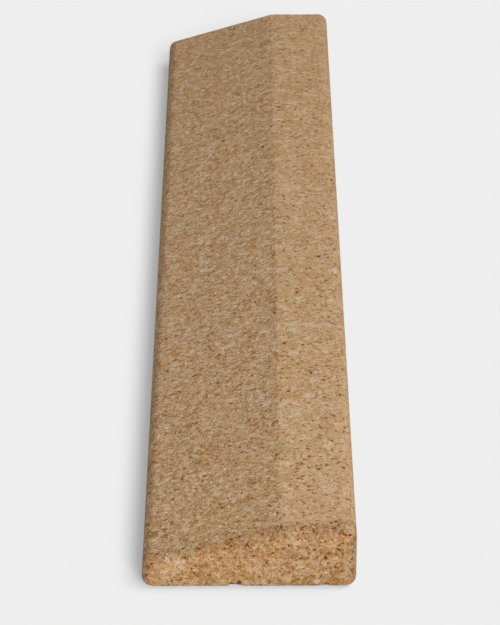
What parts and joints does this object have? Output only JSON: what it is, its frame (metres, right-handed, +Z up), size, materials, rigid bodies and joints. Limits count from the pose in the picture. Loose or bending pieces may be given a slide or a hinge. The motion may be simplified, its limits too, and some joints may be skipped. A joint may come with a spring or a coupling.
{
  "type": "yoga wedge",
  "caption": "Long block of pressed cork granules with a ramp that rises to a narrow flat deck, all edges rounded over, for wedging under heels, hands or hips.",
  "frame": {"origin": "middle of the underside, which rests on the floor", "axes": "+X across the wedge from the thin toe to the thick heel, +Y along its length, +Z up"},
  "size_m": [0.1224, 0.5, 0.05],
  "materials": {
    "pressed_cork": "matte"
  },
  "bodies": {
    "root": {"cork_wedge": "pressed_cork"}
  },
  "joints": []
}
